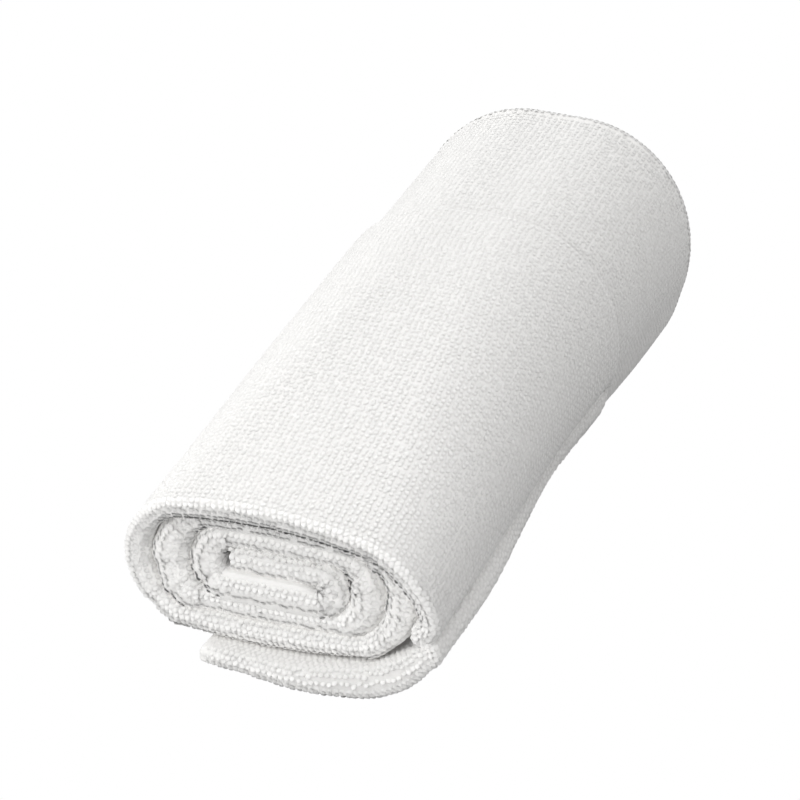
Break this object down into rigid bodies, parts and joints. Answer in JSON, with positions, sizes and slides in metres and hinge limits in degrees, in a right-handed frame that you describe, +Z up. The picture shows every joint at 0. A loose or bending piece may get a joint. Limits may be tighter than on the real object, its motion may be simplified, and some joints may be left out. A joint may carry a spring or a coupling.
{
  "type": "rolled bath mat",
  "caption": "Thick terry bath mat folded along its length and rolled into a flattened, tapering roll that rests on its own tail.",
  "frame": {"origin": "middle of the bounding box's underside, on the surface that the roll rests on", "axes": "+Y along the roll's axis towards its thicker far end, +X to the side with the crease, +Z up"},
  "size_m": [0.1074, 0.22, 0.0902],
  "materials": {
    "terry": "looped cotton terry pile, matt"
  },
  "bodies": {
    "root": {"rolled_mat": "terry"}
  },
  "joints": []
}
